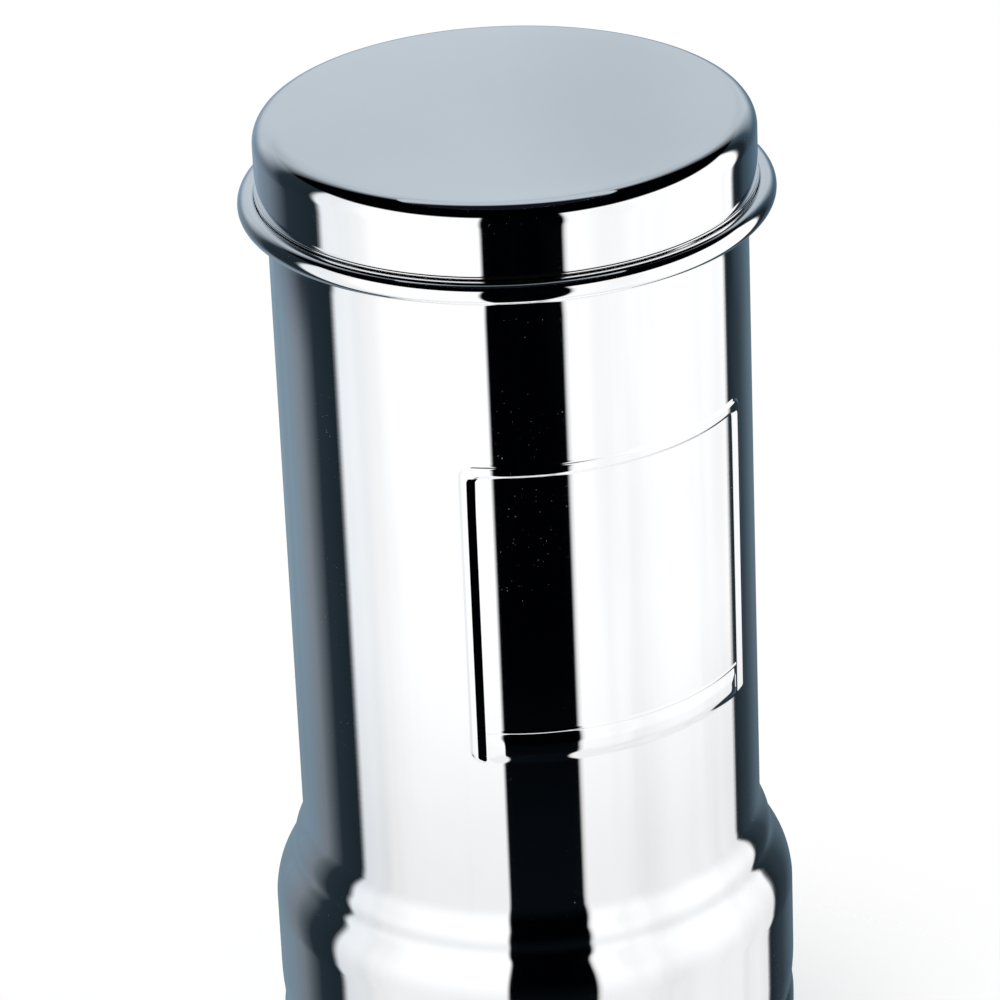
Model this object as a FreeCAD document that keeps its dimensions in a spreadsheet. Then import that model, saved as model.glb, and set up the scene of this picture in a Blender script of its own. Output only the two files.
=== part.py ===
# Stacked stainless steel gravity water filter: two round vessels, a lid, four ceramic candles
# standing in the upper vessel, and a self-closing lever tap on the lower one.
# Millimetres, +Z up. The origin is the middle of the bottom, on the table. The tap faces -Y.

import FreeCAD, Part
import math
import os
import Sketcher

SIZES = [
    ("sheet_wall", 0.8, "thickness of the polished vessel sheet"),
    ("tube_radius", 95.0, "outside of the upper vessel's tube"),
    ("skirt_step", 12.9, "how far the skirt band stands out from the tube"),
    ("band_proud", 0.2, "how far it stands out from the lower vessel's wall"),
    ("lower_height", 130.8, "table to the ledge that carries the upper vessel"),
    ("base_round", 9.0, "corner between the lower wall and its bottom"),
    ("disc_margin", 5.2, "rounded corner to the flat disc that stands on the table"),
    ("disc_drop", 1.5, "how far the disc stands below the rest of the bottom"),
    ("ledge_drop", 6.5, "height over which the lower wall rounds in to the ledge"),
    ("ledge_width", 1.6, "flat of the ledge outside the neck"),
    ("neck_height", 45.0, "neck of the lower vessel above the ledge"),
    ("hem_height", 6.0, "folded hem inside the neck's mouth"),
    ("neck_gap", 0.6, "neck to the skirt's lip"),
    ("seat_gap", 0.2, "resting clearance of a piece that lifts off"),
    ("lip_tuck", 1.4, "how far the skirt draws in to its lip"),
    ("tuck_height", 17.0, "height over which it draws in"),
    ("band_height", 31.5, "straight part of the skirt band"),
    ("flare_height", 14.5, "rounded top of the band, up to the second ridge"),
    ("flare_depth", 3.0, "how far that rounding comes in"),
    ("waist_height", 10.2, "second ridge to the waist between the ridges"),
    ("waist_depth", 6.65, "how far that waist stands out from the tube"),
    ("ridge_height", 4.7, "waist to the first ridge"),
    ("ridge_depth", 4.75, "how far the first ridge stands out from the tube"),
    ("cove_height", 12.4, "hollow curve from the first ridge up to the tube"),
    ("waist_round", 30.0, "hollow radius above the second ridge"),
    ("ridge_round", 5.0, "crown radius of the first ridge"),
    ("tube_height", 270.7, "shoulder to the middle of the rolled rim"),
    ("roll_radius", 6.0, "outside of the rim's outward roll"),
    ("panel_drop", 77.4, "middle of the rim to the top of the pressed frame"),
    ("panel_height", 128.8, "pressed frame, top to bottom"),
    ("panel_half_width", 60.8, "half of the pressed frame's width, seen from the front"),
    ("panel_round", 6.0, "outer corners of the pressed frame"),
    ("frame_side", 4.2, "width of its top and side ridges"),
    ("frame_foot", 13.0, "width of its bottom ridge"),
    ("frame_relief", 1.1, "how far the ridges stand out of the tube"),
    ("floor_rise", 1.0, "shoulder to the underside of the upper floor"),
    ("floor_flange", 9.0, "upturned edge of the upper floor"),
    ("floor_round", 3.0, "corner of the upper floor"),
    ("weld_gap", 0.05, "joint line between pieces fixed to each other"),
    ("lid_overhang", 4.0, "how far the lid's wall stands out from the tube"),
    ("lid_height", 26.95, "lid's edge to its top"),
    ("lid_round", 9.0, "top corner of the lid"),
    ("lid_curl", 0.9, "outward curl of the lid's edge"),
    ("lid_curl_height", 4.0, "height of that curl"),
    ("plug_gap", 1.0, "lid's locating plug to the tube"),
    ("plug_depth", 12.0, "depth of the plug below the lid's edge"),
    ("candle_pitch", 55.0, "axis of the vessel to a candle's axis"),
    ("candle_radius", 25.5, "ceramic candle"),
    ("candle_height", 170.0, "ceramic candle above its cup"),
    ("candle_wall", 8.0, "thickness of the ceramic"),
    ("cup_wall", 1.6, "wall of the candle's plastic cup"),
    ("cup_height", 14.0, "height of that cup"),
    ("cup_depth", 9.0, "how deep the ceramic sits in the cup"),
    ("stem_radius", 5.0, "candle's threaded outlet stem"),
    ("stem_length", 32.0, "that stem below its cup"),
    ("stem_bore", 1.8, "water passage in the stem"),
    ("stem_gap", 0.3, "stem to the hole in the floor"),
    ("thread_gap", 0.05, "male thread to female thread"),
    ("washer_radius", 13.0, "candle's sealing washer"),
    ("washer_height", 2.5, "thickness of that washer"),
    ("wing_hub_radius", 8.5, "wing nut's hub"),
    ("wing_hub_height", 8.0, "height of that hub"),
    ("wing_reach", 17.0, "nut's axis to a wing's tip"),
    ("wing_drop", 15.0, "floor to a wing's tip"),
    ("wing_thickness", 3.6, "thickness of a wing"),
    ("tap_height", 48.0, "table to the tap's shank"),
    ("tap_reach", 14.0, "tap's barrel axis to the face of its flange"),
    ("flange_radius", 13.0, "tap's flange"),
    ("flange_thickness", 3.5, "thickness of that flange"),
    ("gasket_radius", 14.0, "rubber gaskets each side of the wall"),
    ("gasket_thickness", 2.0, "gasket, where it is thinnest"),
    ("gasket_curve", 1.2, "extra thickness that the round wall takes up"),
    ("shank_radius", 8.0, "tap's threaded shank"),
    ("shank_gap", 0.25, "shank to the hole in the wall"),
    ("shank_spare", 3.0, "shank beyond its nut"),
    ("nut_flats", 24.0, "back nut across its flats"),
    ("nut_thickness", 6.0, "back nut"),
    ("water_bore", 4.5, "tap's inlet and outlet bores"),
    ("barrel_radius", 11.0, "tap's barrel"),
    ("barrel_top", 20.0, "shank axis to the top of the barrel"),
    ("barrel_neck", 9.0, "shank axis to the shoulder under the bonnet"),
    ("barrel_thread", 9.5, "thread that carries the bonnet"),
    ("chamber_radius", 7.6, "valve chamber"),
    ("seat_drop", 6.0, "shank axis to the valve seat"),
    ("spout_radius", 7.0, "spout"),
    ("spout_drop", 34.0, "shank axis to the spout's mouth"),
    ("spout_cove", 6.0, "height of the cone from barrel to spout"),
    ("bonnet_radius", 13.0, "bonnet"),
    ("bonnet_gap", 0.3, "bonnet's lower edge to the barrel's shoulder"),
    ("bonnet_top", 30.0, "shank axis to the top of the bonnet"),
    ("bonnet_roof", 3.5, "thickness of the bonnet's roof"),
    ("bonnet_round", 2.0, "top corner of the bonnet"),
    ("flute_radius", 1.3, "grip flutes round the bonnet"),
    ("rod_radius", 3.0, "valve rod"),
    ("rod_gap", 0.05, "running fit of the rod in the bonnet"),
    ("rod_spare", 4.0, "rod above the lever's pin"),
    ("peg_radius", 2.2, "peg of the rod inside the seal"),
    ("collar_radius", 6.0, "collar between seal and spring"),
    ("collar_height", 2.0, "thickness of that collar"),
    ("collar_rise", 2.0, "shank axis to the collar"),
    ("seal_radius", 7.0, "rubber valve seal"),
    ("seal_gap", 0.1, "seal to its seat"),
    ("wire_radius", 0.6, "return spring's wire"),
    ("coil_radius", 5.3, "return spring, to the middle of its wire"),
    ("coil_pitch", 2.6, "return spring, turn to turn"),
    ("pin_rise", 36.0, "shank axis to the lever's pin"),
    ("pin_radius", 1.5, "lever's pin"),
    ("pin_gap", 0.05, "running fit of the lever on its pin"),
    ("slot_half", 3.3, "half of the slot that straddles the rod"),
    ("slot_rise", 5.0, "roof of that slot above the pin"),
    ("hub_half", 6.8, "half of the lever's width"),
    ("hub_back", 5.5, "lever behind its pin"),
    ("foot_gap", 0.3, "lever's foot to the bonnet"),
    ("cam_growth", 4.5, "lift of the lever's cam for each radian of tilt"),
    ("grip_reach", 25.0, "pin to the front of the lever's tip"),
    ("grip_rise", 37.0, "pin to the top of the lever's tip"),
    ("grip_thickness", 5.0, "lever at its tip"),
]

SIN30, COS30 = 0.5, math.sqrt(0.75)
SIN60, COS60 = COS30, SIN30
DIAGONAL = math.sqrt(0.5)
CORNER = math.sqrt(2.0) - 1.0
RADIANS30 = math.radians(30)
ROLL_END = math.radians(130)
FLUTES = 12
CANDLES = 4


class Size:
    """A length that knows its value and the sheet formula that it comes from."""

    def __init__(self, value, formula):
        self.value = float(value)
        self.formula = formula

    @staticmethod
    def of(other):
        return other if isinstance(other, Size) else Size(other, f"{other:.9f}")

    def combine(self, sign, other, value):
        return Size(value, f"({self.formula} {sign} {Size.of(other).formula})")

    def __add__(self, other):
        return self.combine("+", other, self.value + Size.of(other).value)

    def __sub__(self, other):
        return self.combine("-", other, self.value - Size.of(other).value)

    def __mul__(self, other):
        return self.combine("*", other, self.value * Size.of(other).value)

    def __truediv__(self, other):
        return self.combine("/", other, self.value / Size.of(other).value)

    def __neg__(self):
        return Size.of(0.0) - self


document = FreeCAD.newDocument("GravityWaterFilter")
sheet = document.addObject("Spreadsheet::Sheet", "Sizes")
S = {}
for row, (alias, value, note) in enumerate(SIZES, start=1):
    sheet.set(f"A{row}", alias)
    sheet.set(f"B{row}", str(value))
    sheet.set(f"C{row}", note)
    sheet.setAlias(f"B{row}", alias)
    S[alias] = Size(value, f"Sizes.{alias}")
document.recompute()

NOTHING = Size.of(0.0)


def new_body(label):
    """A body with its own label, which also names its file."""
    body = document.addObject("PartDesign::Body", label)
    body.Label = label
    return body


def new_sketch(body, name, role, offset=None):
    """A sketch on one of the body's own origin planes, moved along its normal by offset."""
    sketch = body.newObject("Sketcher::SketchObject", name)
    origin_plane = [item for item in body.Origin.OriginFeatures if item.Role == role][0]
    sketch.AttachmentSupport = [(origin_plane, "")]
    sketch.MapMode = "FlatFace"
    if offset is not None:
        sketch.AttachmentOffset = FreeCAD.Placement(FreeCAD.Vector(0, 0, offset.value), FreeCAD.Rotation())
        sketch.setExpression("AttachmentOffset.Base.z", offset.formula)
    return sketch


def bind(sketch, kind, geometry, size):
    """Add one dimension to a sketch and tie it to the sheet."""
    number = sketch.addConstraint(Sketcher.Constraint(kind, *geometry, size.value))
    sketch.setExpression(f"Constraints[{number}]", size.formula)


def place_point(sketch, edge, end, x, y):
    """Tie one end of an edge to its place in the sketch."""
    for kind, axis, size in (("DistanceX", -2, x), ("DistanceY", -1, y)):
        if abs(size.value) < 1e-9:
            sketch.addConstraint(Sketcher.Constraint("PointOnObject", edge, end, axis))
        else:
            bind(sketch, kind, (edge, end), size)


def arc_between(start, end, radius, turn):
    """The shorter arc from start to end, turning left (1) or right (-1)."""
    run_x, run_y = end[0] - start[0], end[1] - start[1]
    chord = math.hypot(run_x, run_y)
    height = math.sqrt(max(radius ** 2 - chord ** 2 / 4, 0.0))
    centre_x = (start[0] + end[0]) / 2 - turn * height * run_y / chord
    centre_y = (start[1] + end[1]) / 2 + turn * height * run_x / chord
    first, last = (start, end) if turn > 0 else (end, start)
    angles = [math.atan2(point[1] - centre_y, point[0] - centre_x) for point in (first, last)]
    circle = Part.Circle(FreeCAD.Vector(centre_x, centre_y, 0), FreeCAD.Vector(0, 0, 1), radius)
    return Part.ArcOfCircle(circle, angles[0], angles[1])


def draw_outline(sketch, corners):
    """A closed outline. A corner is (x, y), or (x, y, radius, turn) where an arc leads to it."""
    count = len(corners)
    spots = [(Size.of(corner[0]), Size.of(corner[1])) for corner in corners]
    edges = []
    for index in range(count):
        following = (index + 1) % count
        start = (spots[index][0].value, spots[index][1].value)
        end = (spots[following][0].value, spots[following][1].value)
        leading = corners[following][2:]
        if leading:
            radius, turn = Size.of(leading[0]), leading[1]
            edge = sketch.addGeometry(arc_between(start, end, radius.value, turn), False)
            bind(sketch, "Radius", (edge,), radius)
            edges.append((edge, 1 if turn > 0 else 2, 2 if turn > 0 else 1))
        else:
            line = Part.LineSegment(FreeCAD.Vector(*start, 0), FreeCAD.Vector(*end, 0))
            edges.append((sketch.addGeometry(line, False), 1, 2))
    for index in range(count):
        edge, first, _ = edges[index]
        before, _, last = edges[index - 1]
        sketch.addConstraint(Sketcher.Constraint("Coincident", before, last, edge, first))
        place_point(sketch, edge, first, *spots[index])


def draw_circle(sketch, x, y, radius):
    """A circle tied to its centre and radius."""
    x, y = Size.of(x), Size.of(y)
    circle = Part.Circle(FreeCAD.Vector(x.value, y.value, 0), FreeCAD.Vector(0, 0, 1), radius.value)
    edge = sketch.addGeometry(circle, False)
    bind(sketch, "Radius", (edge,), radius)
    place_point(sketch, edge, 3, x, y)


def draw_rectangle(sketch, low_x, low_y, high_x, high_y):
    """A plain rectangle."""
    draw_outline(sketch, [(low_x, low_y), (high_x, low_y), (high_x, high_y), (low_x, high_y)])


def draw_rounded(sketch, low_x, low_y, high_x, high_y, radius):
    """A rectangle with rounded corners."""
    draw_outline(sketch, [
        (low_x + radius, low_y, radius, 1),
        (high_x - radius, low_y),
        (high_x, low_y + radius, radius, 1),
        (high_x, high_y - radius),
        (high_x - radius, high_y, radius, 1),
        (low_x + radius, high_y),
        (low_x, high_y - radius, radius, 1),
        (low_x, low_y + radius),
    ])


def turned(body, name, outline, role="XZ_Plane", axis="V_Axis", cut=False):
    """A revolved outline, added to the body or cut out of it."""
    sketch = new_sketch(body, f"{name}_outline", role)
    draw_outline(sketch, outline)
    feature = body.newObject("PartDesign::Groove" if cut else "PartDesign::Revolution", name)
    feature.Profile = sketch
    feature.ReferenceAxis = (sketch, [axis])
    feature.Angle = 360
    sketch.Visibility = False
    return feature


def padded(body, name, sketch, length, midplane=False, cut=False, backwards=False):
    """An extruded sketch, added to the body or cut out of it."""
    feature = body.newObject("PartDesign::Pocket" if cut else "PartDesign::Pad", name)
    feature.Profile = sketch
    feature.SideType = "Symmetric" if midplane else "One side"
    feature.Length = length.value
    feature.setExpression("Length", length.formula)
    feature.Reversed = backwards
    return feature


def place(body, x=NOTHING, y=NOTHING, z=NOTHING):
    """Put a body where the sheet says."""
    body.Placement = FreeCAD.Placement(FreeCAD.Vector(x.value, y.value, z.value), FreeCAD.Rotation())
    for letter, size in (("x", x), ("y", y), ("z", z)):
        body.setExpression(f"Placement.Base.{letter}", size.formula)


def cove(depth, height):
    """Radius of an arc that leaves a straight wall and comes in by depth over height."""
    return (depth * depth + height * height) / (depth * 2)


def cut_volume(body, before, name):
    """Stop if a cut took nothing away, and give the volume that is left."""
    document.recompute()
    after = body.Shape.Volume
    if after > before - 1.0:
        raise RuntimeError(f"{name} cut nothing: {before:.1f} to {after:.1f}")
    return after


wall = S["sheet_wall"]
band_radius = S["tube_radius"] + S["skirt_step"]
lower_radius = band_radius - S["band_proud"]
ridge_radius = S["tube_radius"] + S["ridge_depth"]
waist_radius = S["tube_radius"] + S["waist_depth"]
skirt_foot = S["lower_height"] + S["seat_gap"]
band_foot = skirt_foot + S["tuck_height"]
band_top = band_foot + S["band_height"]
second_ridge = band_top + S["flare_height"]
waist = second_ridge + S["waist_height"]
first_ridge = waist + S["ridge_height"]
shoulder = first_ridge + S["cove_height"]
rim = shoulder + S["tube_height"]
lip_radius = band_radius - S["lip_tuck"]
neck_radius = lip_radius - wall - S["neck_gap"]
tube_inside = S["tube_radius"] - wall
floor_under = shoulder + S["floor_rise"]
floor_top = floor_under + wall
tap_standoff = S["tap_reach"] + S["flange_thickness"] + S["gasket_thickness"]
tap_axis = -(lower_radius + tap_standoff)


def make_lower_vessel():
    """Lower vessel: standing disc, straight wall, ledge and the neck that the upper one slips over."""
    body = new_body("lower_vessel")
    ledge_radius = neck_radius + S["ledge_width"]
    ledge_in = lower_radius - ledge_radius
    ledge_start = S["lower_height"] - S["ledge_drop"]
    neck_top = S["lower_height"] + S["neck_height"]
    hem_foot = neck_top - S["hem_height"]
    corner_top = S["disc_drop"] + S["base_round"]
    disc_radius = lower_radius - S["base_round"] - S["disc_margin"] - S["disc_drop"]
    turned(body, "lower_shell", [
        (NOTHING, NOTHING),
        (disc_radius, NOTHING),
        (disc_radius + S["disc_drop"], S["disc_drop"]),
        (lower_radius - S["base_round"], S["disc_drop"]),
        (lower_radius, corner_top, S["base_round"], 1),
        (lower_radius, ledge_start),
        (ledge_radius, S["lower_height"], cove(ledge_in, S["ledge_drop"]), 1),
        (neck_radius, S["lower_height"]),
        (neck_radius, neck_top),
        (neck_radius - wall * 2, neck_top),
        (neck_radius - wall * 2, hem_foot),
        (neck_radius - wall, hem_foot),
        (neck_radius - wall, S["lower_height"] - wall),
        (ledge_radius - wall, S["lower_height"] - wall),
        (lower_radius - wall, ledge_start, cove(ledge_in, S["ledge_drop"] - wall), -1),
        (lower_radius - wall, corner_top),
        (lower_radius - S["base_round"], S["disc_drop"] + wall, S["base_round"] - wall, -1),
        (disc_radius + S["disc_drop"] - wall * CORNER, S["disc_drop"] + wall),
        (disc_radius - wall * CORNER, wall),
        (NOTHING, wall),
    ])
    document.recompute()
    volume = body.Shape.Volume
    sketch = new_sketch(body, "tap_hole_circle", "XZ_Plane")
    draw_circle(sketch, NOTHING, S["tap_height"], S["shank_radius"] + S["shank_gap"])
    padded(body, "tap_hole", sketch, lower_radius * 2, cut=True, backwards=True)
    cut_volume(body, volume, "tap_hole")
    return body


def make_upper_vessel():
    """Upper vessel: rolled rim, tube with a pressed frame, two-step shoulder and skirt."""
    body = new_body("upper_vessel")
    panel_top = rim - S["panel_drop"]
    panel_foot = panel_top - S["panel_height"]
    half = S["panel_half_width"]
    sketch = new_sketch(body, "frame_outline", "XZ_Plane", offset=S["tube_radius"] * 0.5)
    draw_rounded(sketch, -half, panel_foot, half, panel_top, S["panel_round"])
    draw_rounded(sketch, S["frame_side"] - half, panel_foot + S["frame_foot"],
                 half - S["frame_side"], panel_top - S["frame_side"], S["panel_round"] - S["frame_side"])
    padded(body, "frame_ridges", sketch, S["tube_radius"])
    document.recompute()
    volume = body.Shape.Volume
    middle = S["tube_radius"] - wall * 0.5
    face = S["tube_radius"] + S["frame_relief"]
    beyond = S["tube_radius"] * 2
    for name, low, high in (("frame_back", NOTHING, middle), ("frame_face", face, beyond)):
        corners = [(low, panel_foot - wall), (high, panel_foot - wall),
                   (high, panel_top + wall), (low, panel_top + wall)]
        turned(body, name, corners, cut=True)
        volume = cut_volume(body, volume, name)

    roll_axis = tube_inside + S["roll_radius"]
    inner_roll = S["roll_radius"] - wall
    sin_end, cos_end = math.sin(ROLL_END), math.cos(ROLL_END)
    ridge_two = band_radius - S["flare_depth"]
    skirt = cove(S["lip_tuck"], S["tuck_height"])
    flare = cove(S["flare_depth"], S["flare_height"])
    hollow = cove(S["ridge_depth"], S["cove_height"])
    turned(body, "upper_shell", [
        (lip_radius, skirt_foot),
        (band_radius, band_foot, skirt, 1),
        (band_radius, band_top),
        (ridge_two, second_ridge, flare, 1),
        (waist_radius, waist, S["waist_round"], -1),
        (ridge_radius, first_ridge, S["ridge_round"], 1),
        (S["tube_radius"], shoulder, hollow, -1),
        (S["tube_radius"], rim),
        (roll_axis, rim + inner_roll, inner_roll, -1),
        (roll_axis + inner_roll, rim, inner_roll, -1),
        (roll_axis + inner_roll * cos_end, rim - inner_roll * sin_end, inner_roll, -1),
        (roll_axis + S["roll_radius"] * cos_end, rim - S["roll_radius"] * sin_end),
        (roll_axis + S["roll_radius"], rim, S["roll_radius"], 1),
        (roll_axis, rim + S["roll_radius"], S["roll_radius"], 1),
        (tube_inside, rim, S["roll_radius"], 1),
        (tube_inside, shoulder),
        (ridge_radius - wall, first_ridge, hollow, 1),
        (waist_radius - wall, waist, S["ridge_round"], -1),
        (ridge_two - wall, second_ridge, S["waist_round"], 1),
        (band_radius - wall, band_top, flare, -1),
        (band_radius - wall, band_foot),
        (lip_radius - wall, skirt_foot, skirt, -1),
    ])
    return body


def candle_spot(index):
    """Where candle number index stands, as signs along X and Y."""
    angle = math.radians(45 + 90 * index)
    side_x, side_y = math.copysign(DIAGONAL, math.cos(angle)), math.copysign(DIAGONAL, math.sin(angle))
    return S["candle_pitch"] * side_x, S["candle_pitch"] * side_y


def make_upper_floor():
    """Upper floor: a dished plate welded into the tube, with a hole for each candle."""
    body = new_body("upper_floor")
    edge = tube_inside - S["weld_gap"]
    top = floor_under + S["floor_flange"]
    turned(body, "floor_plate", [
        (NOTHING, floor_under),
        (edge - S["floor_round"], floor_under),
        (edge, floor_under + S["floor_round"], S["floor_round"], 1),
        (edge, top),
        (edge - wall, top),
        (edge - wall, floor_under + S["floor_round"]),
        (edge - S["floor_round"], floor_top, S["floor_round"] - wall, -1),
        (NOTHING, floor_top),
    ])
    document.recompute()
    volume = body.Shape.Volume
    sketch = new_sketch(body, "stem_hole_circles", "XY_Plane")
    for index in range(CANDLES):
        spot_x, spot_y = candle_spot(index)
        draw_circle(sketch, spot_x, spot_y, S["stem_radius"] + S["stem_gap"])
    padded(body, "stem_holes", sketch, floor_top * 2, cut=True, backwards=True)
    cut_volume(body, volume, "stem_holes")
    return body


def make_lid():
    """Lid: flat top, straight wall, curled edge that rests on the rim, and a locating plug."""
    body = new_body("lid")
    edge = rim + S["roll_radius"] + S["seat_gap"]
    top = edge + S["lid_height"]
    plug = tube_inside - S["plug_gap"]
    plug_foot = edge - S["plug_depth"]
    curl = cove(S["lid_curl"], S["lid_curl_height"])
    radius = S["tube_radius"] + S["lid_overhang"]
    turned(body, "lid_shell", [
        (NOTHING, top),
        (NOTHING, top - wall),
        (radius - S["lid_round"], top - wall),
        (radius - wall, top - S["lid_round"], S["lid_round"] - wall, -1),
        (radius - wall, edge + wall),
        (plug - wall, edge + wall),
        (plug - wall, plug_foot),
        (plug, plug_foot),
        (plug, edge),
        (radius + S["lid_curl"], edge),
        (radius, edge + S["lid_curl_height"], curl, -1),
        (radius, top - S["lid_round"]),
        (radius - S["lid_round"], top, S["lid_round"], 1),
    ])
    return body


def make_candle_set(index):
    """One candle: sealing washer, cup with its threaded stem, ceramic shell and wing nut."""
    spot_x, spot_y = candle_spot(index)
    number = index + 1
    washer_top = floor_top + S["washer_height"]

    washer = new_body(f"candle_washer_{number}")
    turned(washer, f"washer_ring_{number}", [
        (S["stem_radius"] + S["thread_gap"], NOTHING),
        (S["washer_radius"], NOTHING),
        (S["washer_radius"], S["washer_height"]),
        (S["stem_radius"] + S["thread_gap"], S["washer_height"]),
    ])
    place(washer, spot_x, spot_y, floor_top)

    cup = new_body(f"candle_base_{number}")
    cup_radius = S["candle_radius"] + S["cup_wall"]
    cup_floor = S["cup_height"] - S["cup_depth"]
    turned(cup, f"cup_{number}", [
        (S["stem_bore"], -S["stem_length"]),
        (S["stem_radius"], -S["stem_length"]),
        (S["stem_radius"], NOTHING),
        (cup_radius - cup_floor, NOTHING),
        (cup_radius, cup_floor, cup_floor, 1),
        (cup_radius, S["cup_height"]),
        (S["candle_radius"] + S["weld_gap"], S["cup_height"]),
        (S["candle_radius"] + S["weld_gap"], cup_floor),
        (S["stem_bore"], cup_floor),
    ])
    place(cup, spot_x, spot_y, washer_top)

    candle = new_body(f"ceramic_candle_{number}")
    cylinder_top = S["candle_height"] + S["cup_depth"] - S["candle_radius"]
    hollow = S["candle_radius"] - S["candle_wall"]
    turned(candle, f"ceramic_{number}", [
        (hollow, NOTHING),
        (S["candle_radius"], NOTHING),
        (S["candle_radius"], cylinder_top),
        (NOTHING, cylinder_top + S["candle_radius"], S["candle_radius"], 1),
        (NOTHING, cylinder_top + hollow),
        (hollow, cylinder_top, hollow, -1),
    ])
    place(candle, spot_x, spot_y, washer_top + cup_floor)

    nut = new_body(f"wing_nut_{number}")
    turned(nut, f"wing_hub_{number}", [
        (S["stem_radius"] + S["thread_gap"], -S["wing_hub_height"]),
        (S["wing_hub_radius"] - S["wing_thickness"] * 0.5, -S["wing_hub_height"]),
        (S["wing_hub_radius"], NOTHING),
        (S["stem_radius"] + S["thread_gap"], NOTHING),
    ])
    inner = S["wing_hub_radius"] - S["wing_thickness"] * 0.6
    tip = S["wing_thickness"]
    for side, word in ((1, "right"), (-1, "left")):
        sketch = new_sketch(nut, f"wing_{word}_{number}", "XZ_Plane")
        draw_outline(sketch, [
            (inner * side, -tip * 0.4),
            (inner * side, -S["wing_hub_height"]),
            ((S["wing_reach"] - tip * 1.2) * side, -S["wing_drop"]),
            (S["wing_reach"] * side, tip - S["wing_drop"], tip, side),
            ((S["wing_reach"] - tip * 0.5) * side, -tip * 1.6),
        ])
        padded(nut, f"wing_{word}_pad_{number}", sketch, S["wing_thickness"], midplane=True)
    place(nut, spot_x, spot_y, floor_under - S["weld_gap"])
    return [washer, cup, candle, nut]


def make_tap_body():
    """Tap body: barrel and spout in one, flange and shank through the vessel's wall."""
    body = new_body("tap_body")
    place(body, NOTHING, tap_axis, S["tap_height"])
    turned(body, "barrel", [
        (NOTHING, -S["spout_drop"]),
        (S["spout_radius"], -S["spout_drop"]),
        (S["spout_radius"], -(S["barrel_radius"] + S["spout_cove"])),
        (S["barrel_radius"], -S["barrel_radius"], S["spout_cove"] * 1.2, -1),
        (S["barrel_radius"], S["barrel_neck"]),
        (S["barrel_thread"], S["barrel_neck"]),
        (S["barrel_thread"], S["barrel_top"]),
        (NOTHING, S["barrel_top"]),
    ])
    flange_back = S["tap_reach"] + S["flange_thickness"]
    shank_end = tap_standoff + wall + S["gasket_thickness"] + S["gasket_curve"] + S["nut_thickness"]
    turned(body, "shank", [
        (NOTHING, NOTHING),
        (NOTHING, S["shank_radius"]),
        (S["tap_reach"], S["shank_radius"]),
        (S["tap_reach"], S["flange_radius"] - S["flange_thickness"] * 0.5),
        (S["tap_reach"] + S["flange_thickness"] * 0.5, S["flange_radius"],
         S["flange_thickness"] * 0.5, -1),
        (flange_back, S["flange_radius"]),
        (flange_back, S["shank_radius"]),
        (shank_end + S["shank_spare"], S["shank_radius"]),
        (shank_end + S["shank_spare"], NOTHING),
    ], role="YZ_Plane", axis="H_Axis")
    document.recompute()
    volume = body.Shape.Volume
    turned(body, "valve_chamber", [
        (NOTHING, -(S["spout_drop"] + 1)),
        (S["water_bore"], -(S["spout_drop"] + 1)),
        (S["water_bore"], -S["seat_drop"]),
        (S["chamber_radius"], -S["seat_drop"]),
        (S["chamber_radius"], S["barrel_top"] + 1),
        (NOTHING, S["barrel_top"] + 1),
    ], cut=True)
    volume = cut_volume(body, volume, "valve_chamber")
    turned(body, "inlet_bore", [
        (NOTHING, NOTHING),
        (shank_end + S["shank_spare"] + 1, NOTHING),
        (shank_end + S["shank_spare"] + 1, S["water_bore"]),
        (NOTHING, S["water_bore"]),
    ], role="YZ_Plane", axis="H_Axis", cut=True)
    cut_volume(body, volume, "inlet_bore")
    return body


def make_gasket(name, near, far, outside):
    """A rubber gasket on the shank, cut to the vessel's round wall on one side."""
    body = new_body(name)
    place(body, NOTHING, tap_axis, S["tap_height"])
    bore = S["shank_radius"] + S["thread_gap"]
    turned(body, f"{name}_ring", [
        (near, bore),
        (near, S["gasket_radius"]),
        (far, S["gasket_radius"]),
        (far, bore),
    ], role="YZ_Plane", axis="H_Axis")
    document.recompute()
    volume = body.Shape.Volume
    sketch = new_sketch(body, f"{name}_wall_circle", "XY_Plane")
    centre = -tap_axis
    if outside:
        draw_circle(sketch, NOTHING, centre, lower_radius + S["weld_gap"])
    else:
        draw_circle(sketch, NOTHING, centre, lower_radius - wall - S["weld_gap"])
        draw_circle(sketch, NOTHING, centre, lower_radius * 2)
    padded(body, f"{name}_wall", sketch, S["gasket_radius"] * 4, midplane=True, cut=True)
    cut_volume(body, volume, name)
    return body


def make_gaskets():
    """Gaskets outside and inside the vessel's wall."""
    start = S["tap_reach"] + S["flange_thickness"] + S["weld_gap"]
    outer = make_gasket("tap_outer_gasket", start, tap_standoff + S["gasket_curve"], True)
    finish = tap_standoff + wall + S["gasket_thickness"] + S["gasket_curve"]
    inner = make_gasket("tap_inner_gasket", tap_standoff, finish, False)
    return [outer, inner]


def make_back_nut():
    """Hexagonal back nut that pulls the tap against the wall."""
    body = new_body("tap_back_nut")
    place(body, NOTHING, tap_axis, S["tap_height"])
    start = tap_standoff + wall + S["gasket_thickness"] + S["gasket_curve"] + S["weld_gap"]
    sketch = new_sketch(body, "nut_hexagon", "XZ_Plane", offset=-start)
    point = S["nut_flats"] * (0.5 / COS30)
    draw_outline(sketch, [(point, NOTHING)] + [
        (point * cosine, point * sine) for cosine, sine in
        ((COS60, SIN60), (-COS60, SIN60))
    ] + [(-point, NOTHING)] + [
        (point * cosine, point * sine) for cosine, sine in
        ((-COS60, -SIN60), (COS60, -SIN60))
    ])
    draw_circle(sketch, NOTHING, NOTHING, S["shank_radius"] + S["thread_gap"])
    padded(body, "nut_block", sketch, S["nut_thickness"], backwards=True)
    return body


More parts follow.
